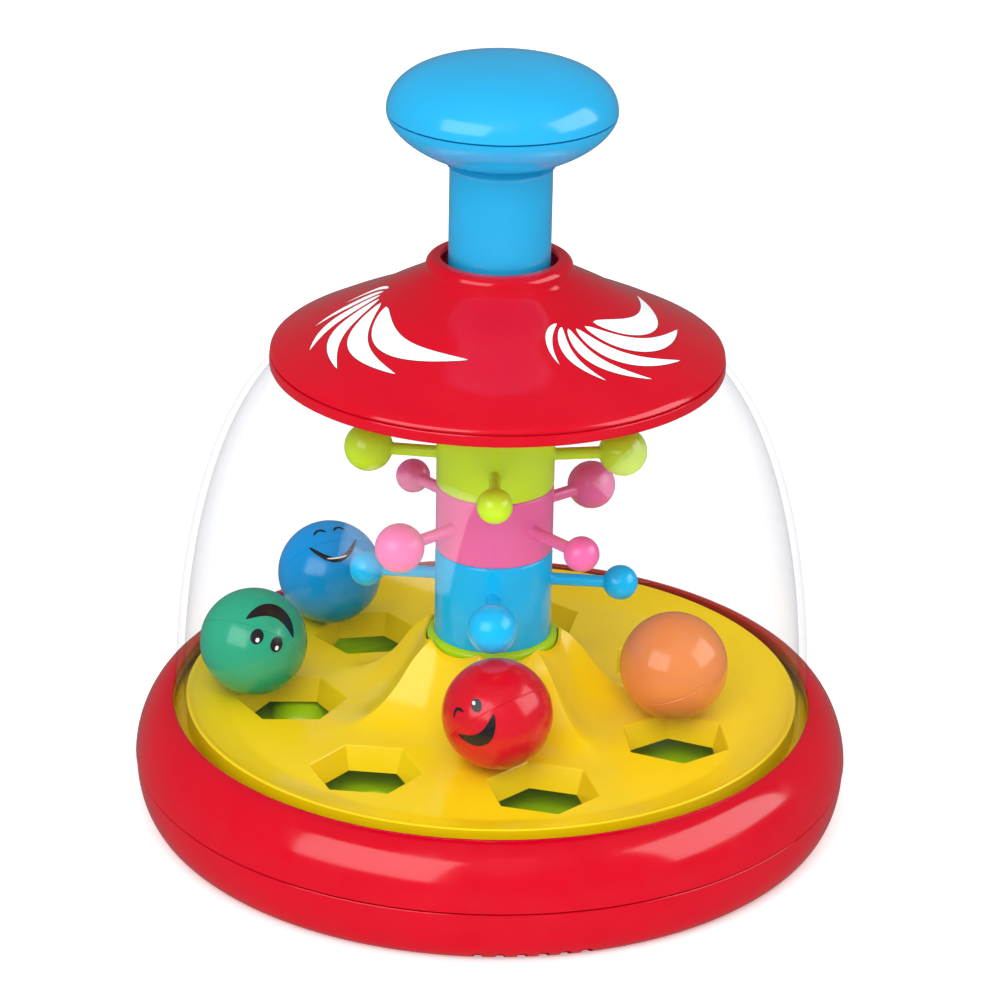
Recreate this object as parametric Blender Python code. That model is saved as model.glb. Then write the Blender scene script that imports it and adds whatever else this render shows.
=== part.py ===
"""Press-down spinning top with popping balls under a clear dome.

Units are millimetres in the tables below and metres in Blender. +Z is up, the origin is
the middle of the flat bottom, and -Y is the front. Pushing the knob slides a twisted bar
through a nut, and the nut's one-way teeth spin the column of three armed drums and the
disc under the tray, which kicks the balls up through the hexagonal pockets.
"""
import math

import bmesh
import bpy
import numpy as np
from mathutils import Matrix, Vector

MM = 0.001

# Driving dimensions, mm
BASE_RADIUS = 94.6
FOOT_RADIUS = 86.8
SEAM_HEIGHT = 15.2
RING_TOP = 31.2
RING_MOUTH = 85.0
DOME_RADIUS = 83.9
DOME_FOOT = 31.3
DOME_RISE = 103.7
DOME_SHOULDER_POWER = 4.37
DOME_CROWN_POWER = 1.92
DOME_WALL = 2.2
BRIM_RADIUS = 58.6
KNOB_RADIUS = 29.2
KNOB_SEAM = 191.3
KNOB_MIDDLE = 191.8
KNOB_TOP_RISE = 12.6
KNOB_BOWL_DROP = 14.8
STEM_RADIUS = 13.1
PLUNGER_TRAVEL = 22.0
TRAY_FLOOR = 28.5
TRAY_RADIUS = 81.0
POCKETS = 7
POCKET_CIRCLE = 53.0
POCKET_RADIUS = 14.8
POCKET_START = math.radians(-23.7)
POCKET_BOTTOM = 22.0
POCKET_WALL = 1.6
ROTOR_RADIUS = 69.5
ROTOR_BOTTOM = 12.5
ROTOR_THICK = 2.5
ROTOR_LIP_TOP = 20.6
ROTOR_LIP_WALL = 2.0
BUMPS = 5
BUMP_TOP = 21.3
COLLAR_RADIUS = 16.7
SPINDLE_RADIUS = 10.5
DRUM_RADIUS = 15.1
ARM_CIRCLE = 33.5
ARM_RADIUS = 1.6
BALL_RADIUS = 14.3
TWIST_LEAD = 60.0
CLEARANCE = 0.3
SCREW_CIRCLE = 75.5
SAUCER_SCREW_CIRCLE = 48.0

# Sides of the turned pieces, by size
SIDES_LARGE = 48
SIDES_MEDIUM = 32
SIDES_SMALL = 20
SIDES_SCREW = 8

COLOURS = {
    "red": ((0.80, 0.0, 0.02), 0.25, 0.0),
    "blue": ((0.03, 0.55, 0.87), 0.25, 0.0),
    "lime": ((0.39, 0.63, 0.0), 0.3, 0.0),
    "pink": ((0.84, 0.13, 0.38), 0.3, 0.0),
    "yellow": ((1.0, 0.75, 0.0), 0.3, 0.0),
    "clear": ((0.95, 0.97, 1.0), 0.05, 0.0),
    "white": ((0.85, 0.85, 0.85), 0.4, 0.0),
    "steel": ((0.6, 0.6, 0.62), 0.3, 1.0),
    "brass": ((0.7, 0.5, 0.2), 0.35, 1.0),
    "ball_green": ((0.0, 0.43, 0.14), 0.25, 0.0),
    "ball_blue": ((0.0, 0.25, 0.6), 0.25, 0.0),
    "ball_red": ((0.8, 0.0, 0.02), 0.25, 0.0),
    "ball_orange": ((0.87, 0.2, 0.05), 0.25, 0.0),
}

# Balls resting on the tray: distance from the axis, angle in degrees, centre height
BALLS = {
    "blue": (66.3, 133.2, 43.1),
    "green": (63.4, 178.3, 43.1),
    "red": (40.2, -87.6, 43.7),
    "orange": (48.7, -9.9, 43.2),
}

# Drums from the bottom up: lowest, highest, arm height, and each arm's angle and ball radius
DRUMS = {
    "blue": (46.3, 72.8, 64.5, ((-5, 4.6), (90, 6.4), (175, 4.6), (-90, 6.4))),
    "pink": (73.1, 90.8, 82.0, ((-48, 4.6), (40, 6.4), (131, 4.6), (-136, 6.4))),
    "lime": (91.1, 110.0, 98.5, ((-90, 4.6), (8, 6.4), (90, 4.6), (172, 6.4))),
}


def material(name):
    """A plain Principled material of one of the part's colours, made once."""
    made = bpy.data.materials.get(name)
    if made:
        return made
    colour, roughness, metallic = COLOURS[name]
    made = bpy.data.materials.new(name)
    made.use_nodes = True
    shader = made.node_tree.nodes["Principled BSDF"]
    shader.inputs["Base Color"].default_value = (*colour, 1.0)
    shader.inputs["Roughness"].default_value = roughness
    shader.inputs["Metallic"].default_value = metallic
    return made


def add_object(name, mesh_data, colour, parent=None):
    """Turn a bmesh in millimetres into a smooth shaded object in metres."""
    bmesh.ops.recalc_face_normals(mesh_data, faces=mesh_data.faces)
    bmesh.ops.scale(mesh_data, vec=(MM, MM, MM), verts=mesh_data.verts)
    mesh = bpy.data.meshes.new(name)
    mesh_data.to_mesh(mesh)
    mesh_data.free()
    mesh.shade_smooth()
    mesh.set_sharp_from_angle(angle=math.radians(35))
    part = bpy.data.objects.new(name, mesh)
    bpy.context.scene.collection.objects.link(part)
    if colour:
        mesh.materials.append(material(colour))
    if parent:
        part.parent = parent
    return part


def turned(outline, sides, mesh_data=None, centre=(0.0, 0.0)):
    """Spin an outline of (radius, height) points round a vertical axis into a solid."""
    mesh_data = mesh_data or bmesh.new()
    on_axis = outline[0][0] == 0 or outline[-1][0] == 0
    verts = [mesh_data.verts.new((centre[0] + r, centre[1], z)) for r, z in outline]
    pairs = list(zip(verts, verts[1:]))
    if not on_axis:
        pairs.append((verts[-1], verts[0]))
    edges = [mesh_data.edges.new(pair) for pair in pairs]
    bmesh.ops.spin(
        mesh_data, geom=verts + edges, cent=(*centre, 0), axis=(0, 0, 1),
        angle=2 * math.pi, steps=sides, use_merge=True)
    bmesh.ops.remove_doubles(mesh_data, verts=mesh_data.verts, dist=1e-4)
    return mesh_data


def turned_part(name, outline, sides, colour, parent=None, centre=(0.0, 0.0)):
    return add_object(name, turned(outline, sides, centre=centre), colour, parent)


def tube_outline(inner, outer, low, high):
    return [(inner, low), (outer, low), (outer, high), (inner, high)]


def arc(centre_r, centre_z, radius_r, radius_z, start, end, count):
    """Points of an elliptical arc in the (radius, height) plane, angles in degrees."""
    angles = [math.radians(start + (end - start) * i / (count - 1)) for i in range(count)]
    return [(centre_r + radius_r * math.cos(a), centre_z + radius_z * math.sin(a)) for a in angles]


def polar(radius, angle, height):
    return Vector((radius * math.cos(angle), radius * math.sin(angle), height))


def prism(mesh_data, centre, rings, sides, turn):
    """Add an upright prism through (radius, height) rings, with corners from the angle turn."""
    made = []
    for radius, height in rings:
        corners = [turn + 2 * math.pi * i / sides for i in range(sides)]
        made.append([mesh_data.verts.new((centre.x + radius * math.cos(a),
                                          centre.y + radius * math.sin(a), height))
                     for a in corners])
    for low, high in zip(made, made[1:]):
        for i in range(sides):
            j = (i + 1) % sides
            mesh_data.faces.new((low[i], low[j], high[j], high[i]))
    mesh_data.faces.new(made[0][::-1])
    mesh_data.faces.new(made[-1])


def boolean(target, tool, operation):
    """Join a helper solid to a piece, or cut it out of the piece."""
    step = target.modifiers.new(operation.title(), "BOOLEAN")
    step.operation = operation
    step.solver = "EXACT"
    step.object = tool
    tool.hide_render = True
    tool.display_type = "WIRE"


def superellipse_radius(share, radius, shoulder_power, crown_power):
    return radius * (1 - share ** crown_power) ** (1 / shoulder_power)


def dome_point(height, offset=0.0):
    share = (height - DOME_FOOT) / DOME_RISE
    radius = superellipse_radius(share, DOME_RADIUS, DOME_SHOULDER_POWER, DOME_CROWN_POWER)
    return radius - offset, height


def screw_outline(head_radius, shank_radius, head_low, head_high, tip):
    """Outline of a pan head screw that points up when tip is above its head."""
    head_edge = head_high if tip > head_low else head_low
    far_edge = head_low if tip > head_low else head_high
    return [(0, far_edge), (head_radius, far_edge), (head_radius, head_edge),
            (shank_radius, head_edge), (shank_radius, tip), (0, tip)]


# Casing

def base_lower_shell():
    wall = [(0, 0), (FOOT_RADIUS, 0), (89.6, 0.8), (91.6, 3.0), (93.2, 6.4), (94.1, 10.5),
            (94.4, SEAM_HEIGHT), (92.0, SEAM_HEIGHT), (91.5, 11.0), (90.2, 7.0), (87.9, 4.2)]
    rib = [(87.9, 22.2), (84.9, 22.2), (84.9, 2.6)]
    pin_boss = [(7, 2.6), (7, 10), (2.2, 10), (2.2, 3.5), (0, 3.5)]
    shell = turned_part("base_lower_shell", wall + rib + pin_boss, SIDES_LARGE, "red")
    bosses = bmesh.new()
    holes = bmesh.new()
    for place in screw_places():
        centre = (place.x, place.y)
        turned([(0, 1.5), (5.5, 1.5), (5.5, 6), (0, 6)], SIDES_SCREW, bosses, centre)
        turned([(0, -1), (3.4, -1), (3.4, 3.2), (1.5, 3.2), (1.5, 7), (0, 7)],
               SIDES_SCREW, holes, centre)
    boolean(shell, add_object("base_boss_guide", bosses, None), "UNION")
    boolean(shell, add_object("base_hole_cutter", holes, None), "DIFFERENCE")
    boolean(shell, notch_cutter(), "DIFFERENCE")


def notch_cutter():
    """Six short round-topped notches in the bottom edge, a little right of the front."""
    first, pitch, count = math.radians(-91.3), math.radians(3.5), 6
    notches = bmesh.new()
    for i in range(count):
        angle = first + pitch * i
        made = bmesh.ops.create_cone(notches, cap_ends=True, segments=10, radius1=1.45,
                                     radius2=1.45, depth=8)
        turn = Matrix.Rotation(angle, 4, "Z") @ Matrix.Rotation(math.pi / 2, 4, "Y")
        bmesh.ops.transform(notches, matrix=Matrix.Translation(polar(91.5, angle, 1.3)) @ turn,
                            verts=made["verts"])
    return add_object("notch_cutter", notches, None)


def base_upper_ring():
    shoulder = [(RING_MOUTH + (BASE_RADIUS - RING_MOUTH) * (1 - share ** 1.8) ** (1 / 1.8),
                 SEAM_HEIGHT + (RING_TOP - SEAM_HEIGHT) * share)
                for share in (0.03, 0.2, 0.37, 0.53, 0.67, 0.79, 0.89, 0.96, 1.0)]
    outline = shoulder + [(84.3, RING_TOP - 0.6), (84.3, 28.1), (88.3, 28.1), (88.3, 25.0),
                          (91.2, 20.5), (91.9, SEAM_HEIGHT + CLEARANCE)]
    turned_part("base_upper_ring", outline, SIDES_LARGE, "red")


def dome():
    heights = [31.3, 50, 70, 88, 101, 111, 119, 124.5, 127.7]
    outer = [dome_point(z) for z in heights]
    inner = [dome_point(z, DOME_WALL) for z in reversed(heights[:-1])]
    flange = [(81.7, 25.3), (87.5, 25.3), (87.5, 27.8), (DOME_RADIUS, 27.8)]
    mouth = [(42.5, 127.7), (42.5, 125.5), (inner[0][0] - 2, 125.5)]
    turned_part("dome", flange + outer + mouth + inner, SIDES_LARGE, "clear")


def saucer_cap():
    top = [(14.5, 152.6), (15.2, 153.4)] + arc(16.2, 151.2, 2.6, 2.3, 75, -10, 4)
    slope = [(20.5, 148.6), (24, 146.4), (30, 143.2), (38, 138.8), (48, 134.2)]
    brim = [(57.6, 129.4), (BRIM_RADIUS, 128.0), (BRIM_RADIUS, 124.6), (57.9, 124.2),
            (56.6, 127.0)]
    under = [(48, 131.7), (38, 136.2), (28, 141.4), (18.0, 145.5)]
    neck = [(17.2, 139.3), (14.5, 139.3)]
    cap = turned_part("saucer_cap", top + slope + brim + under + neck, SIDES_LARGE, "red")
    posts = bmesh.new()
    holes = bmesh.new()
    for place in saucer_screw_places():
        centre = (place.x, place.y)
        turned([(0, 128.0), (3.2, 128.0), (3.2, 132.3), (0, 132.3)], SIDES_SCREW, posts, centre)
        turned([(0, 127.0), (1.3, 127.0), (1.3, 131.6), (0, 131.6)], SIDES_SCREW, holes, centre)
    boolean(cap, add_object("saucer_post_guide", posts, None), "UNION")
    boolean(cap, add_object("saucer_hole_cutter", holes, None), "DIFFERENCE")


def saucer_plate():
    """Disc under the dome's mouth, with the neck that guides plunger and column."""
    outline = [(10.9, 110.5), (18, 110.5), (18, 122.9), (52.0, 122.9), (52.0, 125.1),
               (18, 125.1), (18, 136.5), (16, 136.5), (16, 112.6), (10.9, 112.6)]
    plate = turned_part("saucer_plate", outline, SIDES_MEDIUM, "red")
    holes = bmesh.new()
    for place in saucer_screw_places():
        turned([(0, 121), (1.5, 121), (1.5, 127), (0, 127)], SIDES_SCREW, holes,
               (place.x, place.y))
    boolean(plate, add_object("plate_hole_cutter", holes, None), "DIFFERENCE")
    dome_holes = bmesh.new()
    for place in saucer_screw_places():
        turned([(0, 124), (1.5, 124), (1.5, 129), (0, 129)], SIDES_SCREW, dome_holes,
               (place.x, place.y))
    boolean(bpy.data.objects["dome"], add_object("dome_hole_cutter", dome_holes, None),
            "DIFFERENCE")


def screw_places():
    return [polar(SCREW_CIRCLE, math.radians(45 + 90 * i), 0) for i in range(4)]


def saucer_screw_places():
    return [polar(SAUCER_SCREW_CIRCLE, math.radians(60 + 120 * i), 0) for i in range(3)]


def casing_screws():
    for i, place in enumerate(screw_places(), 1):
        turned_part(f"base_screw_{i}", screw_outline(3.0, 1.15, 1.0, 2.8, 16.0), SIDES_SCREW,
                    "steel", centre=(place.x, place.y))
    for i, place in enumerate(saucer_screw_places(), 1):
        turned_part(f"saucer_screw_{i}", screw_outline(2.6, 1.0, 121.0, 122.6, 130.6),
                    SIDES_SCREW, "steel", centre=(place.x, place.y))


# Tray

HUB_RADII = np.array([17.4, 20.0, 24.0, 28.0, 33.0, 39.0, 46.0])
RIDGE_HEIGHTS = np.array([49.6, 48.0, 43.8, 38.2, 33.2, 30.0, TRAY_FLOOR])
VALLEY_HEIGHTS = np.array([47.6, 42.6, 35.8, 31.6, 29.2, TRAY_FLOOR, TRAY_FLOOR])


# Pockets narrow downwards: (corner radius, height)
POCKET_TAPER = [(POCKET_RADIUS - 2.2, POCKET_BOTTOM), (POCKET_RADIUS, TRAY_FLOOR)]


def tray_height(radius, angle):
    """Top of the tray: a scalloped hub whose ridges run out between the pockets."""
    phase = POCKETS / 2 * (angle - POCKET_START) + math.pi / 2
    ridge_share = (1 - abs(math.sin(phase))) ** 1.3
    ridge = np.interp(radius, HUB_RADII, RIDGE_HEIGHTS)
    valley = np.interp(radius, HUB_RADII, VALLEY_HEIGHTS)
    return float(valley + (ridge - valley) * ridge_share)


def ball_tray():
    top_radii = list(HUB_RADII) + [68.5]
    under_radii = [68.5, 46.0, 39.0, 33.0, 28.0, 24.0, 20.0, 17.4]
    rim = [(74.5, 29.7), (78.4, 30.9), (80.4, 31.8), (TRAY_RADIUS, 31.6), (TRAY_RADIUS, 25.0),
           (87.5, 25.0), (87.5, 22.5), (78.6, 22.5), (78.2, 27.2)]
    steps = POCKETS * 8
    tray = bmesh.new()
    rings = []
    for i in range(steps):
        angle = POCKET_START + 2 * math.pi * i / steps
        outline = [(r, tray_height(r, angle)) for r in top_radii] + rim
        outline += [(r, tray_height(r, angle) - (2.2 if r > 30 else 3.0)) for r in under_radii]
        rings.append([tray.verts.new(polar(r, angle, z)) for r, z in outline])
    for ring, following in zip(rings, rings[1:] + rings[:1]):
        for j in range(len(ring)):
            k = (j + 1) % len(ring)
            tray.faces.new((ring[j], following[j], following[k], ring[k]))
    part = add_object("ball_tray", tray, "yellow")
    skirts = bmesh.new()
    openings = bmesh.new()
    for angle in pocket_angles():
        centre = polar(POCKET_CIRCLE, angle, 0)
        skirt = [(radius + POCKET_WALL, z) for radius, z in POCKET_TAPER]
        skirt[-1] = (skirt[-1][0], TRAY_FLOOR - 1.1)
        prism(skirts, centre, skirt, 6, angle)
        low_radius = POCKET_TAPER[0][0]
        opening = [(low_radius, POCKET_BOTTOM - 2)] + POCKET_TAPER + [(POCKET_RADIUS, 45)]
        prism(openings, centre, opening, 6, angle)
    for place in screw_places():
        turned([(0, 6.3), (4.2, 6.3), (4.2, 24.0), (0, 24.0)], SIDES_SCREW, skirts,
               (place.x, place.y))
        turned([(0, 5.0), (1.45, 5.0), (1.45, 18.0), (0, 18.0)], SIDES_SCREW, openings,
               (place.x, place.y))
    boolean(part, add_object("tray_skirt_guide", skirts, None), "UNION")
    boolean(part, add_object("tray_pocket_cutter", openings, None), "DIFFERENCE")


def pocket_angles():
    return [POCKET_START + 2 * math.pi * i / POCKETS for i in range(POCKETS)]


# Spinning column

def joint_empty(name):
    empty = bpy.data.objects.new(name, None)
    bpy.context.scene.collection.objects.link(empty)
    return empty


def rotor(parent):
    plate_top = ROTOR_BOTTOM + ROTOR_THICK
    lip = [(ROTOR_RADIUS, ROTOR_LIP_TOP), (ROTOR_RADIUS - ROTOR_LIP_WALL, ROTOR_LIP_TOP),
           (ROTOR_RADIUS - ROTOR_LIP_WALL, plate_top)]
    collar = [(COLLAR_RADIUS, plate_top), (COLLAR_RADIUS, 48.6), (15.5, 48.6), (15.5, 46.0),
              (13.0, 46.0), (13.0, plate_top)]
    hub = [(8.5, plate_top), (8.5, 21.5), (4.7, 21.5)]
    outline = [(4.7, ROTOR_BOTTOM), (ROTOR_RADIUS, ROTOR_BOTTOM)] + lip + collar + hub
    disc = turned_part("rotor_disc", outline, SIDES_MEDIUM, "lime", parent)
    bumps = bmesh.new()
    for i in range(BUMPS):
        add_bump(bumps, math.radians(20 + 360 / BUMPS * i), plate_top - 1)
    boolean(disc, add_object("rotor_bump_guide", bumps, None), "UNION")
    turned_part("rotor_bush", tube_outline(2.2, 4.4, 12.8, 21.2), SIDES_SMALL, "brass", parent)


def add_bump(mesh_data, angle, low):
    """A rounded cam that kicks a ball up as it passes under a pocket."""
    outline = [(0, low), (9, low), (8.4, low + 3), (6.2, BUMP_TOP - 1.4), (3.2, BUMP_TOP),
               (0, BUMP_TOP)]
    centre = polar(POCKET_CIRCLE, angle, 0)
    turned(outline, 14, mesh_data, (centre.x, centre.y))


def spindle_tube(parent):
    low = ROTOR_BOTTOM + ROTOR_THICK + CLEARANCE
    outline = [(9.0, low), (12.6, low), (12.6, low + 2), (SPINDLE_RADIUS, low + 2),
               (SPINDLE_RADIUS, 118.0), (9.0, 118.0)]
    turned_part("spindle_tube", outline, SIDES_MEDIUM, "white", parent)


def drum(name, parent):
    low, high, arm_height, arms = DRUMS[name]
    bevel = 0.8
    outline = [(10.8, low), (DRUM_RADIUS - bevel, low), (DRUM_RADIUS, low + bevel),
               (DRUM_RADIUS, high - bevel), (DRUM_RADIUS - bevel, high), (10.8, high)]
    part = turned_part(f"drum_{name}", outline, SIDES_MEDIUM, name, parent)
    arm_data = bmesh.new()
    for degrees, end_radius in arms:
        angle = math.radians(degrees)
        add_arm(arm_data, angle, arm_height, end_radius)
    boolean(part, add_object(f"arm_guide_{name}", arm_data, None), "UNION")


def add_arm(mesh_data, angle, height, end_radius):
    """Turned rod and end ball in one closed outline, laid out along the arm's direction."""
    neck = math.degrees(math.asin(ARM_RADIUS / end_radius))
    inner_end = DRUM_RADIUS - 2
    ball = arc(0, ARM_CIRCLE, end_radius, end_radius, neck - 90, 90, 7)
    ball[-1] = (0, ARM_CIRCLE + end_radius)
    made = turned([(0, inner_end), (ARM_RADIUS, inner_end)] + ball, SIDES_SCREW)
    turn = Matrix.Rotation(angle, 4, "Z") @ Matrix.Rotation(math.pi / 2, 4, "Y")
    bmesh.ops.transform(made, matrix=Matrix.Translation((0, 0, height)) @ turn, verts=made.verts)
    scratch = bpy.data.meshes.new("arm")
    made.to_mesh(scratch)
    made.free()
    mesh_data.from_mesh(scratch)
    bpy.data.meshes.remove(scratch)


def clutch_teeth(mesh_data, inner, outer, low, high, teeth):
    """Face teeth of a one-way clutch: ramps that rise round the ring, then drop."""
    for i in range(teeth):
        start = 2 * math.pi * i / teeth
        end = start + 2 * math.pi / teeth * 0.8
        corners = []
        for angle, top in ((start, low + 0.2), (end, high)):
            for radius in (inner, outer):
                corners.append([mesh_data.verts.new(polar(radius, angle, z))
                                for z in (low - 0.6, top)])
        (a0, a1), (b0, b1), (c0, c1), (d0, d1) = corners
        for face in ((a0, b0, d0, c0), (a1, c1, d1, b1), (a0, a1, b1, b0), (c0, d0, d1, c1),
                     (a0, c0, c1, a1), (b0, b1, d1, d0)):
            mesh_data.faces.new(face)


def clutch_and_retainer(parent):
    ring = turned_part("clutch_ring", tube_outline(3.4, 8.7, 88.0, 92.0), SIDES_SMALL, "white",
                       parent)
    teeth = bmesh.new()
    clutch_teeth(teeth, 4.4, 8.0, 92.0, 93.2, 8)
    boolean(ring, add_object("clutch_tooth_guide", teeth, None), "UNION")
    turned_part("nut_retainer", tube_outline(3.4, 8.7, 101.2, 103.4), SIDES_SMALL, "white",
                parent)
    turned_part("spring_seat", tube_outline(3.6, 10.6, 118.3, 119.5), SIDES_SMALL, "steel",
                parent)


def twisted_strip(mesh_data, half_width, half_thickness, low, high, steps):
    """A flat strip twisted right-handed about the vertical axis, one turn per lead."""
    rings = []
    for i in range(steps + 1):
        height = low + (high - low) * i / steps
        angle = 2 * math.pi * height / TWIST_LEAD
        turn = Matrix.Rotation(angle, 3, "Z")
        section = [(-half_width, -half_thickness), (half_width, -half_thickness),
                   (half_width, half_thickness), (-half_width, half_thickness)]
        rings.append([mesh_data.verts.new(turn @ Vector((x, y, height))) for x, y in section])
    for ring, following in zip(rings, rings[1:]):
        for j in range(4):
            k = (j + 1) % 4
            mesh_data.faces.new((ring[j], ring[k], following[k], following[j]))
    mesh_data.faces.new(rings[0][::-1])
    mesh_data.faces.new(rings[-1])


def drive_nut(parent):
    nut = turned_part("drive_nut", tube_outline(0.4, 8.4, 94.2, 100.7), SIDES_SMALL, "white",
                      parent)
    slot = bmesh.new()
    twisted_strip(slot, 2.7, 1.5, 92.0, 103.0, 11)
    boolean(nut, add_object("nut_slot_cutter", slot, None), "DIFFERENCE")


# Plunger

def plunger(parent):
    seam = KNOB_SEAM
    shares = [0, 0.35, 0.55, 0.72, 0.85, 0.94, 1.0]
    crown = [(superellipse_radius(s, KNOB_RADIUS, 2.8, 2.2), KNOB_MIDDLE + KNOB_TOP_RISE * s)
             for s in shares]
    crown[-1] = (0, crown[-1][1])
    inside = [(0, 201.8), (14, 201.2), (22, 198.6), (26.6, 194.2), (26.9, seam + CLEARANCE)]
    cap = inside + [(KNOB_RADIUS - 0.1, seam + CLEARANCE)] + crown
    turned_part("knob_cap", cap, SIDES_MEDIUM, "blue", parent)

    bowl = []
    for share in (0.04, 0.22, 0.4, 0.6, 0.75, 0.86):
        radius = superellipse_radius(share, KNOB_RADIUS, 1.81, 1.68)
        bowl.append((radius, KNOB_MIDDLE - KNOB_BOWL_DROP * share))
    bowl.reverse()
    outer = [(STEM_RADIUS, 137.0), (STEM_RADIUS, 177.6)] + bowl
    inner = [(26.9, seam), (25.3, 188.2), (22.4, 185.6), (18.5, 183.4), (2.9, 183.4),
             (2.9, 180.2), (11.3, 180.2), (11.3, 137.0)]
    turned_part("plunger_stem", outer + inner, SIDES_MEDIUM, "blue", parent)
    turned_part("stem_stop_ring", tube_outline(STEM_RADIUS + CLEARANCE, 15.5, 137.2, 139.0),
                SIDES_MEDIUM, "white", parent)


def twist_bar(parent):
    bar = bmesh.new()
    twisted_strip(bar, 2.2, 1.0, 84.0, 184.2, 50)
    part = add_object("twist_bar", bar, "steel", parent)
    head = turned([(0, 183.7), (5.2, 183.7), (5.2, 187.0), (0, 187.0)], SIDES_SMALL)
    boolean(part, add_object("bar_head_guide", head, None), "UNION")
    pilot = turned([(0, 184.6), (1.5, 184.6), (1.5, 188), (0, 188)], SIDES_SCREW)
    boolean(part, add_object("bar_pilot_cutter", pilot, None), "DIFFERENCE")
    turned_part("bar_screw", screw_outline(4.0, 1.1, 187.3, 189.2, 185.0), SIDES_SCREW, "steel",
                parent)


def return_spring(parent):
    """Compression spring round the twist bar, from the column's top to the plunger's web."""
    coil_radius, wire_radius, low, high = 8.6, 0.7, 120.6, 179.1
    turns, steps, sides = 7, 9, 5
    spring = bmesh.new()
    rings = []
    total = turns * steps
    for i in range(total + 1):
        angle = 2 * math.pi * i / steps
        centre_height = low + (high - low) * i / total
        ring = []
        for j in range(sides):
            around = 2 * math.pi * j / sides
            radius = coil_radius + wire_radius * math.cos(around)
            ring.append(spring.verts.new(
                polar(radius, angle, centre_height + wire_radius * math.sin(around))))
        rings.append(ring)
    for ring, following in zip(rings, rings[1:]):
        for j in range(sides):
            k = (j + 1) % sides
            spring.faces.new((ring[j], following[j], following[k], ring[k]))
    spring.faces.new(rings[0])
    spring.faces.new(rings[-1][::-1])
    add_object("return_spring", spring, "steel", parent)


# Balls

def balls():
    for name, (radius, degrees, height) in BALLS.items():
        ball = bmesh.new()
        bmesh.ops.create_uvsphere(ball, u_segments=16, v_segments=10, radius=BALL_RADIUS)
        part = add_object(f"ball_{name}", ball, f"ball_{name}")
        part.location = polar(radius, math.radians(degrees), height) * MM


def build():
    for existing in list(bpy.data.objects):
        bpy.data.objects.remove(existing, do_unlink=True)
    base_lower_shell()
    base_upper_ring()
    dome()
    saucer_cap()
    saucer_plate()
    ball_tray()
    casing_screws()
    turned_part("stem_bush", tube_outline(13.4, 14.2, 139.8, 147.5), SIDES_MEDIUM, "white")
    turned_part("pivot_pin", [(0, 3.8), (1.9, 3.8), (1.9, 23.0), (0, 23.0)], SIDES_SMALL, "steel")
    turned_part("thrust_washer", tube_outline(2.3, 7.6, 10.3, 12.2), SIDES_SMALL, "white")
    column_axis = joint_empty("column_axis")
    rotor(column_axis)
    spindle_tube(column_axis)
    for name in DRUMS:
        drum(name, column_axis)
    clutch_and_retainer(column_axis)
    drive_nut(joint_empty("nut_axis"))
    plunger_axis = joint_empty("plunger_axis")
    plunger(plunger_axis)
    twist_bar(plunger_axis)
    return_spring(plunger_axis)
    balls()


build()
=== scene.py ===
"""Looks of the press-down spinning top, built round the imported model.

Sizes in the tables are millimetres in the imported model's frame: +Z is up, -Y is the front and
the origin is the middle of the flat bottom. Blender's own units are metres.
"""
import math

import bmesh
import bpy
import numpy as np
from mathutils import Matrix, Vector

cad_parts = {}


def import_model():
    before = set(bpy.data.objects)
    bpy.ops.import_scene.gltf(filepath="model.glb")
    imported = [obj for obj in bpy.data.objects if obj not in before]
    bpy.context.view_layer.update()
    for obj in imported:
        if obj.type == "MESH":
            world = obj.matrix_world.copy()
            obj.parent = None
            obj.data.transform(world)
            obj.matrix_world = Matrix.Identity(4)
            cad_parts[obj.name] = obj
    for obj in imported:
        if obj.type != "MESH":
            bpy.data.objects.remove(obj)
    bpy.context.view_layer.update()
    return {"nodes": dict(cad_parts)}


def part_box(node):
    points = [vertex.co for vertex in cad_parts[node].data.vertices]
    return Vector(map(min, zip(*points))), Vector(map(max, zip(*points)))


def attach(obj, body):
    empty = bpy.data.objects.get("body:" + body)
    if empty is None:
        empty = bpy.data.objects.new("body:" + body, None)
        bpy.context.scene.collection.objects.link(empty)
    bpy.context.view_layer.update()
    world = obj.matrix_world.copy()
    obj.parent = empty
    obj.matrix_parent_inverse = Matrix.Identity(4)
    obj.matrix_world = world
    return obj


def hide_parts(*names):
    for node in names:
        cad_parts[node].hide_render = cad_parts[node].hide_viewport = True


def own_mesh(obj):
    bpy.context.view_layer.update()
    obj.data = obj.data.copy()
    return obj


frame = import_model()

MM = 0.001

# Driving dimensions, mm
BASE_RADIUS = 94.6
FOOT_RADIUS = 86.8
SEAM_HEIGHT = 15.2
RING_TOP = 31.2
RING_MOUTH = 85.0
DOME_RADIUS = 83.9
DOME_FOOT = 31.3
DOME_RISE = 103.7
DOME_TOP = 127.7
DOME_WALL = 2.2
DOME_MOUTH_RADIUS = 42.5
DOME_MOUTH_BOTTOM = 125.5
FLANGE_RADIUS = 87.5
BRIM_RADIUS = 58.6
NECK_BORE = 14.5
KNOB_RADIUS = 29.2
KNOB_SEAM = 191.3
KNOB_MIDDLE = 191.8
KNOB_TOP_RISE = 12.6
KNOB_BOWL_DROP = 14.8
KNOB_INNER_RADIUS = 26.9
KNOB_GAP = 0.3
STEM_BORE = 11.3
STEM_BOTTOM = 137.0
STEM_RADIUS = 13.1
TRAY_FLOOR = 28.5
TRAY_RADIUS = 81.0
POCKETS = 7
POCKET_CIRCLE = 53.0
POCKET_RADIUS = 14.8
POCKET_START = math.radians(-23.7)
POCKET_BOTTOM = 22.0
POCKET_WALL = 1.6
ROTOR_RADIUS = 69.5
ROTOR_BOTTOM = 12.5
ROTOR_TOP = 15.0
ROTOR_LIP_TOP = 20.6
ROTOR_LIP_WALL = 2.0
BUMPS = 5
BUMP_TOP = 21.3
COLLAR_RADIUS = 16.7
COLLAR_TOP = 48.6
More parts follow.
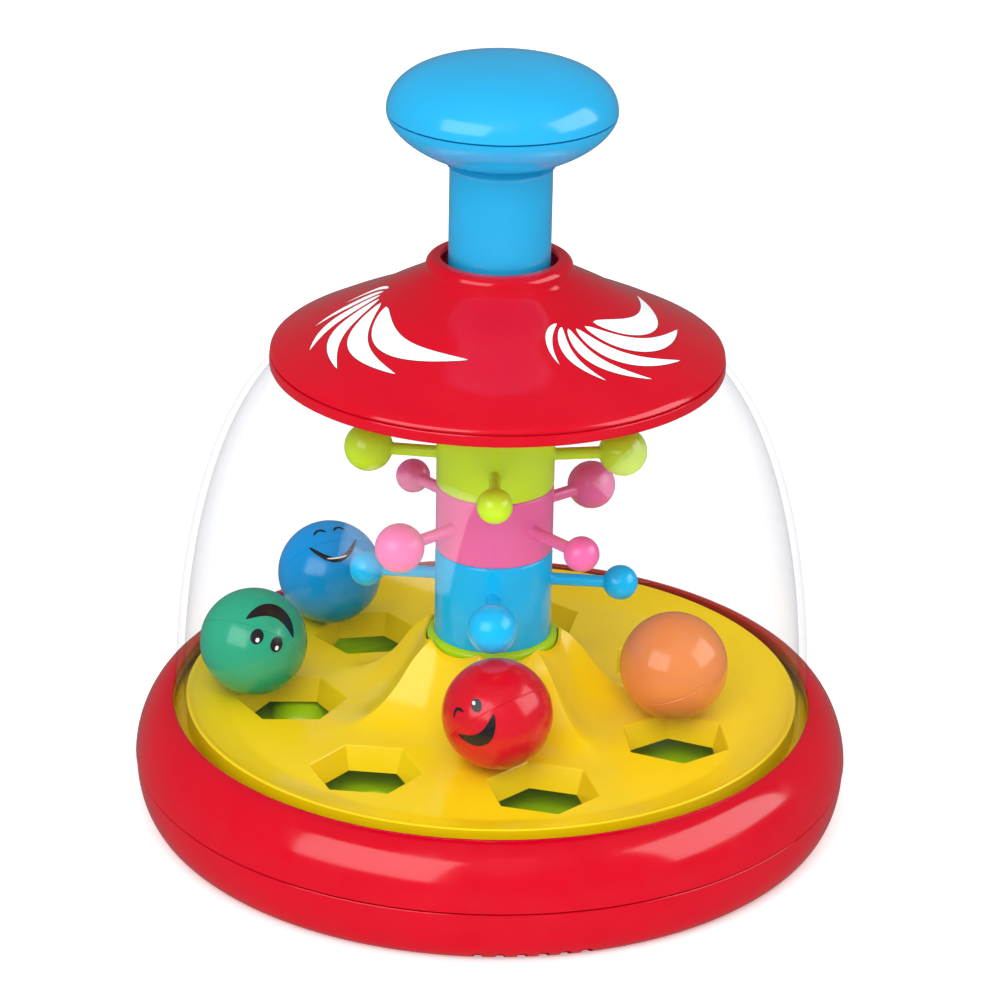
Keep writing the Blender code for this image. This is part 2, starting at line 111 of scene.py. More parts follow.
DRUM_RADIUS = 15.1
DRUM_BORE = 10.8
ARM_CIRCLE = 33.5
ARM_RADIUS = 1.6
BALL_RADIUS = 14.3
INK_LIFT = 0.04
GLINT_LIFT = 0.07
SCREW_CIRCLE = 75.5
SAUCER_SCREW_CIRCLE = 48.0
SPRING_SEAT_TOP = 119.5
SPRING_TOP = 179.8

# Sides of the turned pieces, by size
SIDES_LARGE = 192
SIDES_MEDIUM = 96
SIDES_SMALL = 32

# Drums from the bottom up: lowest, highest, arm height, and each arm's angle and ball radius
DRUMS = {
    "blue": (46.3, 72.8, 64.5, ((-5, 4.6), (90, 6.4), (175, 4.6), (-90, 6.4))),
    "pink": (73.1, 90.8, 82.0, ((-48, 4.6), (40, 6.4), (131, 4.6), (-136, 6.4))),
    "lime": (91.1, 110.0, 98.5, ((-90, 4.6), (8, 6.4), (90, 4.6), (172, 6.4))),
}


# Materials

def linear(red, green, blue):
    """A display colour, 0 to 255, as the linear colour that shaders use."""
    shares = [channel / 255 for channel in (red, green, blue)]
    return tuple(s / 12.92 if s <= 0.04045 else ((s + 0.055) / 1.055) ** 2.4 for s in shares)


def new_material(name):
    material = bpy.data.materials.new(name)
    material.use_nodes = True
    nodes = material.node_tree.nodes
    return material, nodes, material.node_tree.links, nodes["Principled BSDF"]


def noise(nodes, links, scale, detail=2.0, stretch=(1.0, 1.0, 1.0)):
    """A noise texture in the piece's own space; scale is in waves per metre."""
    place = nodes.new("ShaderNodeTexCoord")
    mapping = nodes.new("ShaderNodeMapping")
    mapping.inputs["Scale"].default_value = stretch
    texture = nodes.new("ShaderNodeTexNoise")
    texture.inputs["Scale"].default_value = scale
    texture.inputs["Detail"].default_value = detail
    links.new(place.outputs["Object"], mapping.inputs["Vector"])
    links.new(mapping.outputs["Vector"], texture.inputs["Vector"])
    return texture


def vary_colour(nodes, links, shader, colour, amount, scale):
    """Faint cloudiness in the colour, as in pigment that isn't quite evenly mixed."""
    cloud = noise(nodes, links, scale, 3.0)
    ramp = nodes.new("ShaderNodeValToRGB")
    ramp.color_ramp.elements[0].position = 0.3
    ramp.color_ramp.elements[1].position = 0.7
    ramp.color_ramp.elements[0].color = (*[c * (1 - amount) for c in colour], 1)
    ramp.color_ramp.elements[1].color = (*[min(1, c * (1 + amount)) for c in colour], 1)
    links.new(cloud.outputs["Fac"], ramp.inputs["Fac"])
    links.new(ramp.outputs["Color"], shader.inputs["Base Color"])


def vary_roughness(nodes, links, shader, roughness, amount, scale):
    cloud = noise(nodes, links, scale, 4.0)
    spread = nodes.new("ShaderNodeMapRange")
    spread.inputs["From Min"].default_value = 0.3
    spread.inputs["From Max"].default_value = 0.7
    spread.inputs["To Min"].default_value = roughness - amount
    spread.inputs["To Max"].default_value = roughness + amount
    links.new(cloud.outputs["Fac"], spread.inputs["Value"])
    links.new(spread.outputs["Result"], shader.inputs["Roughness"])


def add_bump(nodes, links, shader, scale, depth, stretch=(1.0, 1.0, 1.0)):
    """Fine relief; depth is its height in millimetres."""
    relief = noise(nodes, links, scale, 2.0, stretch)
    bump = nodes.new("ShaderNodeBump")
    bump.inputs["Strength"].default_value = 1.0
    bump.inputs["Distance"].default_value = depth * MM
    links.new(relief.outputs["Fac"], bump.inputs["Height"])
    links.new(bump.outputs["Normal"], shader.inputs["Normal"])


def plastic(name, colour, roughness=0.2, peel=0.03, cloud=0.03):
    """Glossy moulded plastic: slight mottling, uneven polish and a faint orange peel."""
    material, nodes, links, shader = new_material(name)
    vary_colour(nodes, links, shader, colour, cloud, 45)
    vary_roughness(nodes, links, shader, roughness, 0.04, 120)
    add_bump(nodes, links, shader, 140, peel)
    shader.inputs["IOR"].default_value = 1.5
    return material


def metal(name, colour, roughness, stretch=(1.0, 1.0, 12.0)):
    """Bright drawn metal with fine marks across its length."""
    material, nodes, links, shader = new_material(name)
    vary_colour(nodes, links, shader, colour, 0.06, 300)
    vary_roughness(nodes, links, shader, roughness, 0.07, 900)
    add_bump(nodes, links, shader, 1500, 0.01, stretch)
    shader.inputs["Metallic"].default_value = 1.0
    return material


def clear_plastic(name):
    """Thin clear wall: see-through, with reflections that grow towards the outline."""
    material, nodes, links, shader = new_material(name)
    nodes.remove(shader)
    tint = nodes.new("ShaderNodeLayerWeight")
    tint.inputs["Blend"].default_value = 0.25
    ramp = nodes.new("ShaderNodeValToRGB")
    ramp.color_ramp.elements[0].color = (0.98, 0.98, 0.987, 1)
    ramp.color_ramp.elements[1].color = (0.915, 0.92, 0.935, 1)
    ramp.color_ramp.elements[0].position = 0.35
    through = nodes.new("ShaderNodeBsdfTransparent")
    gloss = nodes.new("ShaderNodeBsdfGlossy")
    gloss.inputs["Roughness"].default_value = 0.06
    facing = nodes.new("ShaderNodeLayerWeight")
    facing.inputs["Blend"].default_value = 0.5
    rise = nodes.new("ShaderNodeMath")
    rise.operation = "POWER"
    rise.inputs[1].default_value = 4.0
    share = nodes.new("ShaderNodeMapRange")
    share.inputs["To Min"].default_value = 0.025
    share.inputs["To Max"].default_value = 0.2
    relief = noise(nodes, links, 60, 2.0)
    bump = nodes.new("ShaderNodeBump")
    bump.inputs["Distance"].default_value = 0.03 * MM
    mix = nodes.new("ShaderNodeMixShader")
    links.new(relief.outputs["Fac"], bump.inputs["Height"])
    links.new(bump.outputs["Normal"], gloss.inputs["Normal"])
    links.new(tint.outputs["Facing"], ramp.inputs["Fac"])
    links.new(ramp.outputs["Color"], through.inputs["Color"])
    links.new(facing.outputs["Facing"], rise.inputs[0])
    links.new(rise.outputs["Value"], share.inputs["Value"])
    links.new(share.outputs["Result"], mix.inputs["Fac"])
    links.new(through.outputs["BSDF"], mix.inputs[1])
    links.new(gloss.outputs["BSDF"], mix.inputs[2])
    links.new(mix.outputs["Shader"], nodes["Material Output"].inputs["Surface"])
    return material


def make_materials():
    return {
        "red": plastic("red_plastic", linear(194, 0, 28), 0.13),
        "blue": plastic("blue_plastic", linear(32, 160, 212), 0.15),
        "drum_blue": plastic("drum_blue_plastic", linear(0, 190, 250), 0.18),
        "drum_pink": plastic("drum_pink_plastic", linear(240, 110, 172), 0.18),
        "drum_lime": plastic("drum_lime_plastic", linear(198, 238, 40), 0.18),
        "lime": plastic("lime_plastic", linear(180, 225, 0), 0.18),
        "yellow": plastic("yellow_plastic", linear(255, 220, 0), 0.2),
        "white": plastic("white_plastic", linear(238, 238, 234), 0.35),
        "clear": clear_plastic("clear_dome_plastic"),
        "steel": metal("steel_wire", (0.62, 0.62, 0.64), 0.28),
        "brass": metal("brass_bush", (0.72, 0.50, 0.20), 0.3),
        "ball_blue": plastic("ball_blue_plastic", linear(0, 150, 225), 0.16),
        "ball_green": plastic("ball_green_plastic", linear(40, 166, 128), 0.16),
        "ball_red": plastic("ball_red_plastic", linear(212, 0, 32), 0.16),
        "ball_orange": plastic("ball_orange_plastic", linear(230, 140, 78), 0.16),
        "print_white": plastic("print_white", linear(250, 250, 250), 0.3, 0.01, 0.01),
        "print_edge": plastic("print_edge", linear(120, 10, 25), 0.3, 0.01, 0.05),
        "face_ink": plastic("face_ink", linear(22, 20, 26), 0.25, 0.01, 0.2),
        "face_light": plastic("face_light", linear(245, 245, 245), 0.25, 0.01, 0.01),
    }


# Mesh helpers

def arc(centre_r, centre_z, radius_r, radius_z, start, end, count):
    """Points of an elliptical arc in the (radius, height) plane, angles in degrees."""
    angles = [math.radians(start + (end - start) * i / (count - 1)) for i in range(count)]
    return [(centre_r + radius_r * math.cos(a), centre_z + radius_z * math.sin(a)) for a in angles]


def smooth_curve(points, steps):
    """A Catmull-Rom curve through the points, with that many steps between two of them."""
    knots = [Vector(p) for p in points]
    ends = [2 * knots[0] - knots[1], *knots, 2 * knots[-1] - knots[-2]]
    curve = []
    for a, b, c, d in zip(ends, ends[1:], ends[2:], ends[3:]):
        for i in range(steps):
            t = i / steps
            curve.append(0.5 * (2 * b + (c - a) * t + (2 * a - 5 * b + 4 * c - d) * t * t
                                + (3 * b - a - 3 * c + d) * t ** 3))
    return [tuple(p) for p in curve] + [tuple(knots[-1])]


def rounded(corners, steps=4):
    """A closed outline from (radius, height, corner radius) points, its corners rounded."""
    outline = []
    count = len(corners)
    for i, corner in enumerate(corners):
        here = Vector(corner[:2])
        size = corner[2] if len(corner) > 2 else 0
        if not size:
            outline.append(tuple(here))
            continue
        before = (Vector(corners[i - 1][:2]) - here).normalized()
        after = (Vector(corners[(i + 1) % count][:2]) - here).normalized()
        half = before.angle(after) / 2
        reach = size / math.tan(half)
        start, end = here + before * reach, here + after * reach
        centre = here + (before + after).normalized() * size / math.sin(half)
        for k in range(steps + 1):
            share = k / steps
            towards = (start - centre).slerp(end - centre, share)
            outline.append(tuple(centre + towards))
    return outline


def turned(outline, sides, centre=(0.0, 0.0)):
    """Spin an outline of (radius, height) points round a vertical axis into a solid."""
    data = bmesh.new()
    on_axis = outline[0][0] == 0 or outline[-1][0] == 0
    verts = [data.verts.new((centre[0] + r, centre[1], z)) for r, z in outline]
    pairs = list(zip(verts, verts[1:]))
    if not on_axis:
        pairs.append((verts[-1], verts[0]))
    edges = [data.edges.new(pair) for pair in pairs]
    bmesh.ops.spin(data, geom=verts + edges, cent=(*centre, 0), axis=(0, 0, 1),
                   angle=2 * math.pi, steps=sides, use_merge=True)
    bmesh.ops.remove_doubles(data, verts=data.verts, dist=1e-4)
    return data


def merge(target, source, matrix=None):
    """Add the bmesh source to target, moved by matrix, and free it."""
    if matrix:
        bmesh.ops.transform(source, matrix=matrix, verts=source.verts)
    scratch = bpy.data.meshes.new("scratch")
    source.to_mesh(scratch)
    source.free()
    target.from_mesh(scratch)
    bpy.data.meshes.remove(scratch)


def new_object(name, data, sharp=35):
    """An object from a bmesh in millimetres, smooth but for edges sharper than the angle."""
    bmesh.ops.recalc_face_normals(data, faces=data.faces)
    bmesh.ops.scale(data, vec=(MM, MM, MM), verts=data.verts)
    mesh = bpy.data.meshes.new(name)
    data.to_mesh(mesh)
    data.free()
    mesh.shade_smooth()
    mesh.set_sharp_from_angle(angle=math.radians(sharp))
    made = bpy.data.objects.new(name, mesh)
    bpy.context.scene.collection.objects.link(made)
    return made


def boolean(target, data, operation="DIFFERENCE", sharp=35):
    """Cut a helper solid out of a piece, or join it on, and keep only the result."""
    tool = new_object("helper", data)
    step = target.modifiers.new("step", "BOOLEAN")
    step.operation = operation
    step.solver = "EXACT"
    step.object = tool
    seen = target.evaluated_get(bpy.context.evaluated_depsgraph_get())
    result = bpy.data.meshes.new_from_object(seen)
    target.modifiers.clear()
    old = target.data
    target.data = result
    bpy.data.meshes.remove(old)
    bpy.data.objects.remove(tool)
    result.shade_smooth()
    result.set_sharp_from_angle(angle=math.radians(sharp))


def weigh_normals(piece):
    """Keep broad faces even in shade beside small rounded edges."""
    step = piece.modifiers.new("shade", "WEIGHTED_NORMAL")
    step.keep_sharp = True
    step.weight = 50


def finish_piece(piece, material, body, *nodes, slot=None):
    """Give a piece its material, its CAD body and the CAD nodes that it stands for."""
    piece.data.materials.clear()
    piece.data.materials.append(MATERIALS[material])
    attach(piece, body)
    if nodes:
        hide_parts(*nodes)
    return piece


def turned_piece(name, outline, sides, material, body, *nodes, centre=(0.0, 0.0), slot=None):
    piece = new_object(name, turned(outline, sides, centre))
    weigh_normals(piece)
    return finish_piece(piece, material, body, *nodes, slot=slot)


def polar(radius, degrees, height=0.0):
    angle = math.radians(degrees)
    return Vector((radius * math.cos(angle), radius * math.sin(angle), height))


def superellipse_radius(share, radius, shoulder_power, crown_power):
    """Radius of a rounded crown at a share of its height; higher powers make it squarer."""
    return radius * (1 - share ** crown_power) ** (1 / shoulder_power)


def eased(low, high, count, power=1.0):
    """Shares from low to high, closer together towards high when power is over 1."""
    return [low + (high - low) * (1 - (1 - i / (count - 1)) ** power) for i in range(count)]


def screw_places():
    return [polar(SCREW_CIRCLE, 45 + 90 * i) for i in range(4)]


def saucer_screw_places():
    return [polar(SAUCER_SCREW_CIRCLE, 60 + 120 * i) for i in range(3)]


# Casing

def base_bottom():
    """Red lower shell: rolled foot, side wall up to the seam, step inside for the ring."""
    wall = smooth_curve([(FOOT_RADIUS + 1.4, 0.25), (89.6, 0.9), (91.6, 3.0), (93.2, 6.4),
                         (94.1, 10.5), (94.4, 14.6)], 6)
    lip = arc(94.0, 14.8, 0.4, 0.4, 0, 90, 4) + [(92.0, SEAM_HEIGHT)]
    inside = [(91.5, 11.0), (90.2, 7.0), (87.9, 4.2), (87.9, 22.2), (84.9, 22.2), (84.9, 2.6)]
    boss = [(7, 2.6), (7, 10), (2.2, 10), (2.2, 3.5), (0, 3.5)]
    floor = [(0, 0.8), (26, 0.8), (26.6, 0.2), (27.2, 0), (60.0, 0), (60.6, 0.6), (62.4, 0.6),
             (63.0, 0), (FOOT_RADIUS, 0)]
    piece = new_object("base_bottom", turned(floor + wall + lip + inside + boss, SIDES_LARGE))
    bosses = bmesh.new()
    holes = bmesh.new()
    for place in screw_places():
        centre = (place.x, place.y)
        merge(bosses, turned([(0, 1.5), (5.5, 1.5), (5.5, 6), (0, 6)], SIDES_SMALL, centre))
        merge(holes, turned([(0, -1), (4.0, -1), (4.0, 0), (3.4, 0.6), (3.4, 3.2), (1.5, 3.2),
                             (1.5, 7), (0, 7)], SIDES_SMALL, centre))
    boolean(piece, bosses, "UNION")
    boolean(piece, holes)
    boolean(piece, notch_cutters())
    weigh_normals(piece)
    finish_piece(piece, "red", "root", "base_lower_shell", slot="red_plastic")


def notch_cutters():
    """Six short round-topped notches in the bottom edge, a little right of the front."""
    first, pitch, count = -91.3, 3.5, 6
    radius, axis_height = 1.45, 1.3
    notches = bmesh.new()
    for i in range(count):
        degrees = first + pitch * i
        drill = bmesh.new()
        bmesh.ops.create_cone(drill, cap_ends=True, segments=24, radius1=radius, radius2=radius,
                              depth=8)
        turn = (Matrix.Translation(polar(91.5, degrees, axis_height))
                @ Matrix.Rotation(math.radians(degrees), 4, "Z")
                @ Matrix.Rotation(math.pi / 2, 4, "Y"))
        merge(notches, drill, turn)
    return notches


def base_ring():
    """Red upper ring of the base, from the seam up to the mouth that holds the dome."""
    shares = eased(0.03, 1.0, 22, 1.6)
    shoulder = [(RING_MOUTH + superellipse_radius(s, BASE_RADIUS - RING_MOUTH, 1.8, 1.8),
                 SEAM_HEIGHT + (RING_TOP - SEAM_HEIGHT) * s) for s in shares]
    lip = [(BASE_RADIUS - 0.5, SEAM_HEIGHT + 0.35)]
    mouth = [(84.6, RING_TOP - 0.15), (84.3, RING_TOP - 0.6), (84.3, 28.1)]
    inside = [(88.3, 28.1), (88.3, 25.0), (91.2, 20.5), (91.9, SEAM_HEIGHT + 0.35)]
    turned_piece("base_ring", lip + shoulder + mouth + inside, SIDES_LARGE, "red", "root",
                 "base_upper_ring", slot="red_plastic")


def clear_dome():
    """Bell-shaped clear cover with a foot flange under the ring and a mouth under the saucer."""
    outer = [dome_point(z) for z in dome_heights()]
    inner = [dome_point(z, DOME_WALL) for z in reversed(dome_heights()[:-1])]
    flange = [(81.7, 25.3), (FLANGE_RADIUS, 25.3), (FLANGE_RADIUS, 27.8),
              (DOME_RADIUS + 0.3, 27.8), (DOME_RADIUS, 28.1)]
    mouth = [(DOME_MOUTH_RADIUS, DOME_TOP), (DOME_MOUTH_RADIUS, DOME_MOUTH_BOTTOM),
             (inner[0][0] - 2, DOME_MOUTH_BOTTOM)]
    piece = new_object("clear_dome", turned(flange + outer + mouth + inner, SIDES_LARGE))
    holes = bmesh.new()
    for place in saucer_screw_places():
        merge(holes, turned([(0, 124), (1.5, 124), (1.5, 129), (0, 129)], SIDES_SMALL,
                            (place.x, place.y)))
    boolean(piece, holes)
    finish_piece(piece, "clear", "root", "dome", slot="clear_plastic")


def dome_heights():
    shares = eased(0.0, 1.0, 40, 1.7)
    return [DOME_FOOT + (DOME_TOP - DOME_FOOT) * s for s in shares]


def dome_point(height, offset=0.0):
    share = (height - DOME_FOOT) / DOME_RISE
    return superellipse_radius(share, DOME_RADIUS, 4.37, 1.92) - offset, height


SAUCER_SLOPE = smooth_curve([(18.9, 150.1), (20.5, 148.6), (24, 146.4), (30, 143.2),
                             (38, 138.8), (48, 134.2), (56.6, 129.9)], 8)


def saucer_height(radius):
    radii, heights = zip(*SAUCER_SLOPE)
    return float(np.interp(radius, radii, heights))


def saucer():
    """Red saucer-shaped cap: collar lip, hollow slope, and a brim with a fine double edge."""
    lip = [(NECK_BORE, 152.4), (14.7, 152.9), (15.2, 153.4)]
    lip += arc(16.2, 151.2, 2.6, 2.3, 75, -8, 14)
    brim = [(57.5, 129.35), (58.2, 128.75), (58.45, 128.1), (58.3, 127.75), (57.9, 127.6),
            (57.9, 127.4), (58.4, 127.25), (BRIM_RADIUS, 126.9), (BRIM_RADIUS, 125.0),
            (58.3, 124.4), (57.9, 124.2), (56.6, 127.0)]
    under = smooth_curve([(56.0, 127.6), (48, 131.7), (38, 136.2), (28, 141.4), (18.0, 145.5)], 4)
    neck = [(17.2, 139.3), (NECK_BORE, 139.3)]
    piece = new_object("saucer", turned(lip + SAUCER_SLOPE + brim + under + neck, SIDES_LARGE))
    posts = bmesh.new()
    holes = bmesh.new()
    for place in saucer_screw_places():
        centre = (place.x, place.y)
        merge(posts, turned([(0, 128.0), (3.2, 128.0), (3.2, 132.3), (0, 132.3)], SIDES_SMALL,
                            centre))
        merge(holes, turned([(0, 127.0), (1.3, 127.0), (1.3, 131.6), (0, 131.6)], SIDES_SMALL,
                            centre))
    boolean(piece, posts, "UNION")
    boolean(piece, holes)
    weigh_normals(piece)
    finish_piece(piece, "red", "root", "saucer_cap", slot="red_plastic")


def saucer_underplate():
    """Disc that clamps the dome's mouth from below, with the neck that guides the column."""
    outline = rounded([(10.9, 110.5, 0.4), (18, 110.5, 0.6), (18, 122.9, 1.2), (52.0, 122.9, 0.6),
                       (52.0, 125.1, 0.3), (18, 125.1), (18, 136.5, 0.3), (16, 136.5, 0.3),
                       (16, 112.6), (10.9, 112.6)])
    piece = new_object("saucer_underplate", turned(outline, SIDES_MEDIUM))
    holes = bmesh.new()
    for place in saucer_screw_places():
        merge(holes, turned([(0, 121), (1.5, 121), (1.5, 127), (0, 127)], SIDES_SMALL,
                            (place.x, place.y)))
    boolean(piece, holes)
    weigh_normals(piece)
    finish_piece(piece, "red", "root", "saucer_plate", slot="red_plastic")


def screw(name, place, head_radius, shank_radius, low, head_height, tip, node):
    """Pan head screw driven upwards, with a cross recess in its head."""
    top = low + head_height
    head = arc(0, low + 0.7, head_radius, 0.7, -90, 0, 8)
    head[0] = (0, low)
    outline = head + [(head_radius, top - 0.15), (head_radius - 0.15, top),
                      (shank_radius, top), (shank_radius, tip - 1.2), (0, tip)]
    piece = new_object(name, turned(outline, SIDES_SMALL, (place.x, place.y)))
    size = Matrix.Diagonal((head_radius * 1.1, head_radius * 0.24, 1.4, 1.0))
    for turn in (20, 110):
        bar = bmesh.new()
        bmesh.ops.create_cube(bar, size=1.0)
        bmesh.ops.transform(bar, matrix=Matrix.Translation((place.x, place.y, low))
                            @ Matrix.Rotation(math.radians(turn), 4, "Z") @ size, verts=bar.verts)
        boolean(piece, bar)
    finish_piece(piece, "steel", "root", node, slot="steel")


def casing_screws():
    for i, place in enumerate(screw_places(), 1):
        screw(f"base_screw_detail_{i}", place, 3.0, 1.15, 1.0, 1.8, 16.0, f"base_screw_{i}")
    for i, place in enumerate(saucer_screw_places(), 1):
        screw(f"saucer_screw_detail_{i}", place, 2.6, 1.0, 121.0, 1.6, 130.6,
              f"saucer_screw_{i}")


# Prints on the saucer

def strip_grid(centre_line, half_width, steps, across):
    """Rows of points across a strip that follows centre_line(t), t from 0 to 1."""
    rows = []
    for i in range(steps + 1):
        t = i / steps
        here, ahead, behind = centre_line(t), centre_line(t + 0.01), centre_line(t - 0.01)
        along = (ahead - behind).normalized()
        side = Vector((-along.y, along.x))
        width = half_width(t)
        rows.append([here + side * width * (2 * j / across - 1) for j in range(across + 1)])
    return rows


def add_grid(data, rows, place):
    """Add a grid of flat points as faces, each point carried by place to the surface."""
    made = [[data.verts.new(place(point)) for point in row] for row in rows]
    for row, following in zip(made, made[1:]):
        for a, b, c, d in zip(row, row[1:], following[1:], following):
            data.faces.new((a, b, c, d))


def quadratic(start, control, end):
    """A curve from start to end, drawn towards control, as a function of t from 0 to 1."""
    def point(t):
        return (1 - t) ** 2 * start + 2 * t * (1 - t) * control + t * t * end

    return point


def crescent_line(k, turn):
    """Middle line of crescent k of a fan of six; all start close together and spread out."""
    start = polar(28.2 + 1.4 * k - 0.19 * k * k, turn - 59 + 0.8 * k + 0.64 * k * k).xy
    end = polar(50.6 - 1.9 * (k - 2.4) ** 2, turn - 67.3 + 11 * k + 1.25 * k * k).xy
    chord = end - start
    outward = Vector((chord.y, -chord.x))
    control = start + 0.4 * chord + (0.36 + 0.03 * k) * outward
    return quadratic(start, control, end)


def crescent_width(k, grow):
    """Half width along crescent k: pointed ends, fullest before the middle."""
    widest = 0.85 + 0.43 * k

    def width(t):
        return grow + widest * math.sin(math.pi * min(max(t, 0), 1) ** 0.75) ** 0.8

    return width


def crescents(name, material, grow, lift):
    """Three fans of printed crescents, 120 degrees apart, that lie on the saucer's slope."""
    data = bmesh.new()

    def place(point):
        return Vector((point.x, point.y, saucer_height(point.length) + lift))

    for turn in (0, 120, 240):
        for k in range(6):
            rows = strip_grid(crescent_line(k, turn), crescent_width(k, grow), 40, 6)
            add_grid(data, rows, place)
    finish_piece(new_object(name, data), material, "root", slot="white_plastic")


def saucer_prints():
    crescents("saucer_print_edge", "print_edge", 0.16, 0.03)
    crescents("saucer_print", "print_white", 0.0, 0.06)


# Tray

HUB_RADII = [17.4, 20.0, 24.0, 28.0, 33.0, 39.0, 46.0]
RIDGE_HEIGHTS = [49.6, 48.0, 43.8, 38.2, 33.2, 30.0, TRAY_FLOOR]
VALLEY_HEIGHTS = [47.6, 42.6, 35.8, 31.6, 29.2, TRAY_FLOOR, TRAY_FLOOR]
RIDGE_LINE = smooth_curve(list(zip(HUB_RADII, RIDGE_HEIGHTS)), 6)
VALLEY_LINE = smooth_curve(list(zip(HUB_RADII, VALLEY_HEIGHTS)), 6)


def tray_height(radius, angle):
    """Top of the tray: a scalloped hub whose ridges run out between the pockets."""
    phase = POCKETS / 2 * (angle - POCKET_START) + math.pi / 2
    ridge_share = (1 - abs(math.sin(phase))) ** 1.3
    ridge = np.interp(radius, *zip(*RIDGE_LINE))
    valley = np.interp(radius, *zip(*VALLEY_LINE))
    return float(valley + (ridge - valley) * ridge_share)


def prism(data, centre, rings, sides, turn):
    """Add an upright prism through (radius, height) rings, with corners from the angle turn."""
    made = []
    for radius, height in rings:
        corners = [turn + 2 * math.pi * i / sides for i in range(sides)]
        made.append([data.verts.new((centre.x + radius * math.cos(a),
                                     centre.y + radius * math.sin(a), height))
                     for a in corners])
    for low, high in zip(made, made[1:]):
        for i in range(sides):
            j = (i + 1) % sides
            data.faces.new((low[i], low[j], high[j], high[i]))
    data.faces.new(made[0][::-1])
    data.faces.new(made[-1])


def pocket_tray():
    """Yellow tray with seven hexagonal pockets round a ridged hub, and a raised rim."""
    hub_lip = [(17.4, -0.9), (17.6, -0.3), (18.1, 0.0)]
    top_radii = [r for r, z in RIDGE_LINE if r > 18.2] + [50, 54, 58, 62, 66, 68.5]
    under_radii = [68.5, 46.0, 39.0, 33.0, 28.0, 24.0, 20.0, 17.4]
    rise = smooth_curve([(70.0, 28.62), (74.5, 29.7), (78.4, 30.9), (80.2, 31.75)], 5)
    rim = rise + [(80.6, 31.8), (TRAY_RADIUS, 31.5), (TRAY_RADIUS, 25.0),
                  (FLANGE_RADIUS, 25.0), (FLANGE_RADIUS, 22.5), (78.6, 22.5), (78.2, 27.2)]
    steps = POCKETS * 24
    data = bmesh.new()
    rings = []
    for i in range(steps):
        degrees = math.degrees(POCKET_START) + 360 * i / steps
        angle = math.radians(degrees)
        outline = [(r, tray_height(17.4, angle) + z) for r, z in hub_lip]
        outline += [(r, tray_height(r, angle)) for r in top_radii] + rim
        outline += [(r, tray_height(r, angle) - (2.2 if r > 30 else 3.0)) for r in under_radii]
        rings.append([data.verts.new(polar(r, degrees, z)) for r, z in outline])
    for ring, following in zip(rings, rings[1:] + rings[:1]):
        for j in range(len(ring)):
            k = (j + 1) % len(ring)
            data.faces.new((ring[j], following[j], following[k], ring[k]))
    tray = new_object("pocket_tray", data)
    skirts = bmesh.new()
    openings = bmesh.new()
    for i in range(POCKETS):
        angle = POCKET_START + 2 * math.pi * i / POCKETS
        centre = polar(POCKET_CIRCLE, math.degrees(angle))
        skirt = [(POCKET_RADIUS - 2.2 + POCKET_WALL, POCKET_BOTTOM),
                 (POCKET_RADIUS + POCKET_WALL, TRAY_FLOOR - 1.1)]
        prism(skirts, centre, skirt, 6, angle)
        opening = [(POCKET_RADIUS - 2.2, POCKET_BOTTOM - 2), (POCKET_RADIUS - 2.2, POCKET_BOTTOM),
                   (POCKET_RADIUS - 0.1, TRAY_FLOOR - 0.3), (POCKET_RADIUS + 0.2, TRAY_FLOOR),
                   (POCKET_RADIUS + 0.2, 45)]
        prism(openings, centre, opening, 6, angle)
    for place in screw_places():
        centre = (place.x, place.y)
        merge(skirts, turned([(0, 6.3), (4.2, 6.3), (4.2, 24.0), (0, 24.0)], SIDES_SMALL, centre))
        merge(openings, turned([(0, 5.0), (1.45, 5.0), (1.45, 18.0), (0, 18.0)], SIDES_SMALL,
                               centre))
    boolean(tray, skirts, "UNION")
    boolean(tray, openings, sharp=22)
    finish_piece(tray, "yellow", "root", "ball_tray", slot="yellow_plastic")


# Spinning column

def kicker_disc():
    """Lime disc under the tray, with bumps, an upturned lip and the collar of the blue drum."""
    lip_inside = ROTOR_RADIUS - ROTOR_LIP_WALL
    outline = rounded([(4.7, ROTOR_BOTTOM), (ROTOR_RADIUS, ROTOR_BOTTOM, 0.6),
                       (ROTOR_RADIUS, ROTOR_LIP_TOP, 0.5), (lip_inside, ROTOR_LIP_TOP, 0.5),
                       (lip_inside, ROTOR_TOP, 1.5), (COLLAR_RADIUS, ROTOR_TOP, 1.0),
                       (COLLAR_RADIUS, COLLAR_TOP, 0.5), (15.5, COLLAR_TOP, 0.3),
                       (15.5, 46.0), (13.0, 46.0),
                       (13.0, ROTOR_TOP), (8.5, ROTOR_TOP), (8.5, 21.5), (4.7, 21.5)])
    piece = new_object("kicker_disc", turned(outline, SIDES_MEDIUM))
    bumps = bmesh.new()
    low = ROTOR_TOP - 1
    profile = [(0, low), (9, low), (9, low + 1)]
    profile += smooth_curve([(8.6, low + 2.6), (7.4, low + 4.6), (5.4, low + 6.3),
                             (2.8, BUMP_TOP - 0.15)], 4) + [(0, BUMP_TOP)]
    for i in range(BUMPS):
        centre = polar(POCKET_CIRCLE, 20 + 360 / BUMPS * i)
        merge(bumps, turned(profile, 40, (centre.x, centre.y)))
    boolean(piece, bumps, "UNION")
    weigh_normals(piece)
    finish_piece(piece, "lime", "rotor", "rotor_disc", slot="lime_plastic")


def drum(colour):
    """Drum with a fine step at each end and four arms that end in balls."""
    low, high, arm_height, arms = DRUMS[colour]
    outline = rounded([(DRUM_BORE, low), (DRUM_RADIUS, low, 0.7), (DRUM_RADIUS, high, 0.7),
                       (DRUM_BORE, high)])
    data = turned(outline, SIDES_MEDIUM)
    for degrees, ball_radius in arms:
        merge(data, arm(ball_radius), Matrix.Translation((0, 0, arm_height))
              @ Matrix.Rotation(math.radians(degrees), 4, "Z")
              @ Matrix.Rotation(math.pi / 2, 4, "Y"))
    piece = new_object(f"{colour}_drum", data)
    finish_piece(piece, f"drum_{colour}", "rotor", f"drum_{colour}", slot=f"{colour}_plastic")


